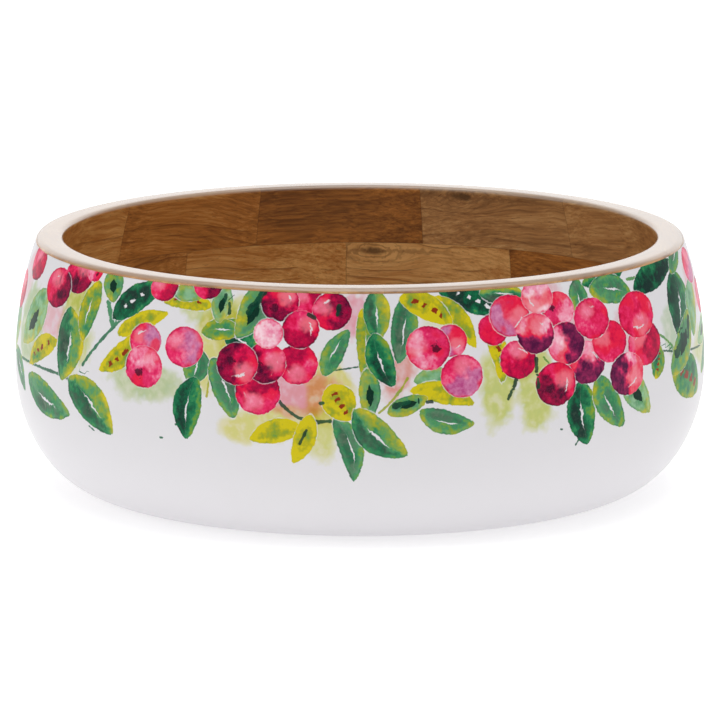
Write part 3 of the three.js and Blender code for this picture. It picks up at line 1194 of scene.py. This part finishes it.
def leaf_group(edge):
    """A leaf painted in two tones of green, with marks along its midrib."""
    tree, g, given, out, shape, tones, noise = paint_group("Painted Leaf", PAPER_INPUT)
    (distance, u, v), (one, other, code), (fine, medium, coarse) = shape, tones, noise
    brush = g.group(edge, distance=distance, noise=given["Noise"])
    pale = g.math("FRACT", code)
    mark = g.math("FLOOR", code)
    sway = g.minus(medium, 0.5)
    lean = g.plus(v, g.times(sway, 1.8))
    tone = g.blend(g.fade(lean, -0.3, 0.3), one, other)
    pooled = g.plus(g.times(sway, 0.9), g.swing(coarse, 0.9))
    tone = g.plus(tone, g.plus(pooled, g.swing(fine, 0.4)))
    tip = g.times(u, u, g.minus(0.12, g.times(coarse, 0.34)))
    tone = g.plus(tone, g.plus(tip, g.fade(distance, -0.8, -3.2, -0.09, 0.09)))
    body = g.ramp(tone, LEAF_COLOURS)
    bloom = g.fade(g.plus(g.times(coarse, 0.5), g.times(fine, 0.5)), 0.5, 0.7, 0, 0.12)
    thin = g.plus(bloom, g.times(pale, g.fade(medium, 0.3, 0.65, 0.5, 1.3)), clamp=True)
    thin = g.math("POWER", thin, 1.7)
    body = g.mix(thin, body, paint(172, 212, 170))
    rim = g.times(brush["Rim"], g.fade(medium, 0.35, 0.65, 0.1, 0.6))
    body = g.mix(rim, body, g.ramp(g.plus(tone, 0.2), LEAF_COLOURS))
    # Marks along the midrib, each with its own kind number
    wavy = g.plus(v, g.swing(fine, 0.22))
    wavy = g.plus(wavy, g.times(sway, 0.35))
    side = g.size_of(wavy)
    along = g.size_of(g.minus(u, 0.05))
    beat = g.math("SINE", g.plus(g.times(u, 19.0), g.times(medium, 9.0)))
    taper = g.fade(along, 0.5, 0.1)
    line = g.fade(g.minus(side, g.times(taper, 0.07)), 0.012, -0.03)
    dash = g.times(g.fade(side, 0.15, 0.09), g.fade(beat, 0.1, 0.5))
    dash = g.times(dash, g.fade(along, 0.56, 0.5))
    spot = g.times(g.fade(side, 0.22, 0.15), g.fade(beat, 0.0, 0.4))
    spot = g.times(spot, g.fade(along, 0.66, 0.6))
    bold = g.fade(g.minus(side, g.times(taper, 0.34)), 0.02, -0.06)
    for kind, mask, tint in (
        (SLIT, line, given["Paper"]),
        (WHITE_DASHES, dash, given["Paper"]),
        (BROWN_DASHES, spot, paint(142, 48, 16)),
        (DARK_DASHES, bold, paint(4, 48, 34)),
    ):
        chosen = g.math("COMPARE", mark, float(kind), 0.5)
        body = g.mix(g.times(chosen, mask), body, tint)
    bared = g.mix(g.times(brush["Gap"], 0.6), given["Under"], given["Paper"])
    g.plug(out, g.mix(brush["Paint"], bared, body))
    return tree


def berry_group(edge):
    """A round berry, light on one side, with a pale glint, a dark rim and perhaps a dried flower."""
    tree, g, given, out, shape, tones, noise = paint_group("Painted Berry", PAPER_INPUT)
    (distance, u, v), (light, dark, code), (fine, medium, coarse) = shape, tones, noise
    brush = g.group(edge, distance=distance, noise=given["Noise"])
    mauve = g.math("FRACT", code)
    mark = g.math("FLOOR", code)
    sway = g.minus(medium, 0.5)
    lean = g.plus(u, g.times(sway, 1.5))
    turned = g.fade(lean, -0.35, 0.35)
    tone = g.blend(turned, light, dark)
    tone = g.plus(tone, g.times(sway, 0.55))
    tone = g.plus(tone, g.swing(fine, 0.34))
    body = g.ramp(tone, BERRY_COLOURS)
    violet = g.times(turned, g.times(mauve, 1.15, clamp=True))
    body = g.mix(violet, body, g.ramp(tone, MAUVE_COLOURS))
    du, dv = g.plus(u, 0.4), g.minus(v, 0.25)
    reach = g.plus(g.times(du, du), g.times(dv, dv))
    reach = g.plus(reach, g.times(sway, 0.5))
    glow = g.times(g.fade(coarse, 0.48, 0.6), g.fade(tone, 0.75, 0.4, 0, 0.75))
    body = g.mix(glow, body, paint(236, 18, 50))
    body = g.mix(g.fade(reach, 0.34, 0.0, 0, 0.24), body, paint(255, 206, 220))
    from_middle = g.hypot(u, v)
    waver = g.plus(from_middle, g.swing(fine, 0.3))
    arc = g.fade(g.size_of(g.minus(waver, 0.56)), 0.06, 0.02)
    arc = g.times(arc, g.fade(g.plus(g.times(u, -0.5), g.times(v, 0.87)), 0.46, 0.53))
    body = g.mix(g.times(arc, g.fade(coarse, 0.48, 0.56, 0, 0.9)), body, given["Paper"])
    rim = g.times(brush["Rim"], g.fade(medium, 0.35, 0.62, 0.2, 0.85))
    body = g.mix(rim, body, g.ramp(g.plus(tone, 0.28), BERRY_COLOURS))
    eu, ev = g.minus(u, 0.35), g.plus(v, 0.12)
    eye = g.hypot(eu, ev)
    eye = g.plus(eye, g.swing(fine, 0.6))
    flower = g.times(g.fade(eye, 0.26, 0.14, 0, 0.9), g.math("COMPARE", mark, float(FLOWER), 0.5))
    body = g.mix(flower, body, paint(64, 4, 36))
    bared = g.mix(g.times(brush["Gap"], 0.45), given["Under"], given["Paper"])
    g.plug(out, g.mix(brush["Paint"], bared, body))
    return tree


def wash_group():
    """A thin, soft-edged wash that tints what lies under it."""
    tree, g, given, out, shape, tones, noise = paint_group("Painted Wash")
    (distance, _, _), (tone, strength, _), (_, medium, coarse) = shape, tones, noise
    ragged = g.plus(g.swing(coarse, 9.0), distance, g.swing(medium, 6.0))
    mask = g.times(g.fade(ragged, 0.8, -3.2), strength, g.fade(medium, 0.25, 0.6, 0.6, 1.0))
    tint = g.ramp(g.plus(tone, g.swing(medium, 0.25)), WASH_COLOURS)
    g.plug(out, g.mix(mask, given["Under"], tint, "MULTIPLY"))
    return tree


def stroke_group():
    """A single stroke of a brush, whose colours give its half length and half width in millimetres."""
    tree, g, given, out, shape, tones, noise = paint_group("Brush Stroke")
    (guard, u, v), (half, wide, tone), (fine, medium, _) = shape, tones, noise
    past = g.math("MAXIMUM", g.minus(g.size_of(u), half), 0.0)
    away = g.hypot(past, v)
    wobble = g.times(g.minus(g.plus(fine, medium), 1.0), 0.9)
    pressed = g.times(wide, g.fade(medium, 0.35, 0.65, 0.55, 1.25))
    distance = g.plus(g.minus(away, pressed), wobble)
    near = g.math("LESS_THAN", guard, REACH)
    mask = g.times(g.fade(distance, 0.15, -0.15, 0, 0.92), near)
    body = g.ramp(g.plus(tone, g.times(g.minus(medium, 0.6), 0.35)), LEAF_COLOURS)
    g.plug(out, g.mix(mask, given["Under"], body))
    return tree


def enamel_material(finish, layers):
    """White enamel with the print laid over it, coat by coat."""
    material, g, shader = new_material("printed_enamel")
    place = g.object_mm()
    noise = g.join(g.noise(place, 0.75, 2.0), g.noise(place, 0.22, 2.0, 0.55), g.noise(place, 0.09, 2.0))
    paper = tuple(finish.enamel)
    edge = brush_edge_group()
    painters = {
        "wash": wash_group(),
        "stem": stroke_group(),
        "leaf": leaf_group(edge),
        "berry": berry_group(edge),
    }
    painters["touch"] = painters["stem"]
    under = paper
    for kind, coats in layers.items():
        for coat in coats:
            shape = g.attribute(f"{coat.name}_shape")
            tones = g.attribute(f"{coat.name}_tones")
            given = {"under": under, "shape": shape, "tones": tones, "noise": noise}
            if kind in ("leaf", "berry"):
                given["paper"] = paper
            under = g.group(painters[kind], **given)["Colour"]
    grain = g.noise(place, 2.6, 2.0, 0.6)
    speckled = g.mix(g.fade(grain, 0.4, 0.8, 0, 0.02), under, paper)
    g.plug(shader.inputs["Base Color"], speckled)
    shader.inputs["Roughness"].default_value = finish.enamel_roughness
    shader.inputs["Specular IOR Level"].default_value = 0.05
    shader.inputs["Coat Weight"].default_value = 0.03
    shader.inputs["Coat Roughness"].default_value = 0.1
    return material


def coat_section(sizes):
    """The enamel's section, up its face from the lap under the bowl, and down its back."""
    wall = outer_wall(sizes)
    top = sizes.height - sizes.coat_drop
    soft = sizes.coat / 2
    face = stretch(wall.path(fine=1.25), sizes.coat_lift, top - soft)
    back = stretch(wall.path(sizes.coat, fine=4), sizes.coat_lift + sizes.coat, top - soft)
    outer, inner = wall.at(wall.turn_at(top)), wall.at(wall.turn_at(top), sizes.coat)
    crown = Vector(((outer.x + inner.x) / 2, top))
    lap = Vector((face[0].x - sizes.coat_lap, sizes.coat_lift))
    return [
        lap,
        *face[:-1],
        *rounding(face[-1], Vector((outer.x, top)), crown, steps=3),
        *rounding(crown, Vector((inner.x, top)), back[-1], steps=3)[1:],
        *reversed(back[:-1]),
        lap + Vector((0, sizes.coat)),
    ]


def lay_out_bake(bm, wall, top):
    """A UV map that gives most of a baked picture to the printed band, in three rows of a third turn."""
    layer = bm.loops.layers.uv.new("OFBake")
    third = COAT_STEPS // 3
    step = math.tau / COAT_STEPS
    margin, row_height, strip = 0.01, 0.285, 0.035
    for face in bm.faces:
        middle = face.calc_center_median()
        column = math.floor(turn_of(middle) % math.tau / step)
        outward = face.normal.xy.dot(middle.xy) > 0
        printed = outward and middle.z > PRINT_LOW
        for loop in face.loops:
            z = loop.vert.co.z
            across = round((turn_of(loop.vert.co) - column * step) % math.tau / step) % COAT_STEPS
            if printed:
                row = column // third
                u = (column % third + across) / third
                v = row * (row_height + margin) + row_height * (z - PRINT_LOW) / (top - PRINT_LOW)
            else:
                u = (column + across) / COAT_STEPS
                v = 1 - (2 * margin + strip) * (1 if outward else 2) + strip * z / top
            loop[layer].uv = (margin + u * (1 - 2 * margin), margin + v)


class BOWL_OT_enamel(Operator):
    """Lay the white enamel over the outside, with its print"""

    bl_idname = "bowl.enamel"
    bl_label = "Printed enamel"

    def execute(self, context):
        sizes = context.scene.bowl_sizes
        wall = outer_wall(sizes)
        bm = spin_section(coat_section(sizes), 0, math.tau, COAT_STEPS)
        smooth(bm)
        lay_out_bake(bm, wall, sizes.height)
        layers = print_pattern(Canvas(bm, wall))
        enamel = enamel_material(context.scene.bowl_finish, layers)
        piece = add_piece("printed_coat", bm, enamel, ["enamel_coat"])
        for coats in layers.values():
            for coat in coats:
                coat.store(piece.data)
        return {"FINISHED"}


# --- Studio ----------------------------------------------------------------------------------

FLOOR_GAP = mm(0.05)  # the floor lies this far below the foot, so that the two never share a plane
# Softboxes: name, place, width and height in metres, power in watts
SOFTBOXES = (
    ("overhead", (0, -0.1, 2.6), (2.4, 2.4), 34),
    ("left", (-2.2, -0.6, 1.0), (1.4, 1.4), 5),
    ("right", (2.2, -0.6, 1.0), (1.4, 1.4), 2.5),
    ("back_panel", (0, 1.9, 0.75), (3.2, 1.2), 10),
)


def floor_material():
    """White paper that glows a little, as a lit studio sweep does."""
    material, _, shader = new_material("studio_floor")
    shader.inputs["Base Color"].default_value = (0.9, 0.9, 0.9, 1)
    shader.inputs["Roughness"].default_value = 0.9
    shader.inputs["Specular IOR Level"].default_value = 0.0
    shader.inputs["Emission Color"].default_value = (1, 1, 1, 1)
    shader.inputs["Emission Strength"].default_value = 0.38
    return material


def softbox(name, place, target, size, power):
    """A one-sided area light that no camera sees."""
    light = bpy.data.lights.new(name, "AREA")
    light.shape = "RECTANGLE"
    light.size, light.size_y = size
    light.energy = power
    lamp = bpy.data.objects.new(name, light)
    lamp.location = place
    lamp.rotation_euler = (Vector(place) - Vector(target)).to_track_quat("Z", "Y").to_euler()
    lamp.visible_camera = False
    bpy.context.scene.collection.objects.link(lamp)


class BOWL_OT_stage(Operator):
    """Set up the floor, the lights and the camera"""

    bl_idname = "bowl.stage"
    bl_label = "Studio"

    def execute(self, context):
        scene, studio = context.scene, context.scene.bowl_studio
        scene.view_settings.view_transform = "Standard"
        bm = bmesh.new()
        below = Matrix.Translation((0, 0, -FLOOR_GAP))
        bmesh.ops.create_grid(bm, x_segments=1, y_segments=1, size=studio.floor_size / 2, matrix=below)
        mesh = bpy.data.meshes.new("studio_floor")
        bm.to_mesh(mesh)
        bm.free()
        mesh.materials.append(floor_material())
        floor = bpy.data.objects.new("studio_floor", mesh)
        scene.collection.objects.link(floor)
        world = bpy.data.worlds.new("studio")
        world.use_nodes = True
        world.node_tree.nodes["Background"].inputs["Color"].default_value = (1, 1, 1, 1)
        world.node_tree.nodes["Background"].inputs["Strength"].default_value = studio.surround
        scene.world = world
        target = Vector((0, 0, studio.target))
        for name, place, size, power in SOFTBOXES:
            softbox(name, place, target, size, power)
        camera = bpy.data.objects.new("camera", bpy.data.cameras.new("camera"))
        camera.data.lens = studio.lens
        level, rise = math.cos(studio.elevation), math.sin(studio.elevation)
        camera.location = target + studio.distance * Vector((0, -level, rise))
        camera.rotation_euler = (math.pi / 2 - studio.elevation, 0, 0)
        scene.collection.objects.link(camera)
        scene.camera = camera
        return {"FINISHED"}


# --- Add-on ----------------------------------------------------------------------------------

PIECES = (BOWL_OT_blocks, BOWL_OT_base_planks, BOWL_OT_enamel, BOWL_OT_stage)


class BOWL_PT_bowl(Panel):
    """Lists the bowl's sizes, colours and operators"""

    bl_idname = "BOWL_PT_bowl"
    bl_label = "Painted wooden bowl"
    bl_space_type = "VIEW_3D"
    bl_region_type = "UI"
    bl_category = "Bowl"

    def draw(self, context):
        for settings in (context.scene.bowl_sizes, context.scene.bowl_finish, context.scene.bowl_studio):
            box = self.layout.box()
            for name in settings.__annotations__:
                box.prop(settings, name)
        for piece in PIECES:
            self.layout.operator(piece.bl_idname)


CLASSES = (BowlSizes, BowlFinish, StudioSetup, *PIECES, BOWL_PT_bowl)


def register():
    for cls in CLASSES:
        bpy.utils.register_class(cls)
    bpy.types.Scene.bowl_sizes = PointerProperty(type=BowlSizes)
    bpy.types.Scene.bowl_finish = PointerProperty(type=BowlFinish)
    bpy.types.Scene.bowl_studio = PointerProperty(type=StudioSetup)


def unregister():
    del bpy.types.Scene.bowl_studio, bpy.types.Scene.bowl_finish, bpy.types.Scene.bowl_sizes
    for cls in reversed(CLASSES):
        bpy.utils.unregister_class(cls)


def main():
    register()
    bpy.ops.bowl.stage()
    bpy.ops.bowl.blocks()
    bpy.ops.bowl.base_planks()
    bpy.ops.bowl.enamel()


if __name__ == "__main__":
    main()
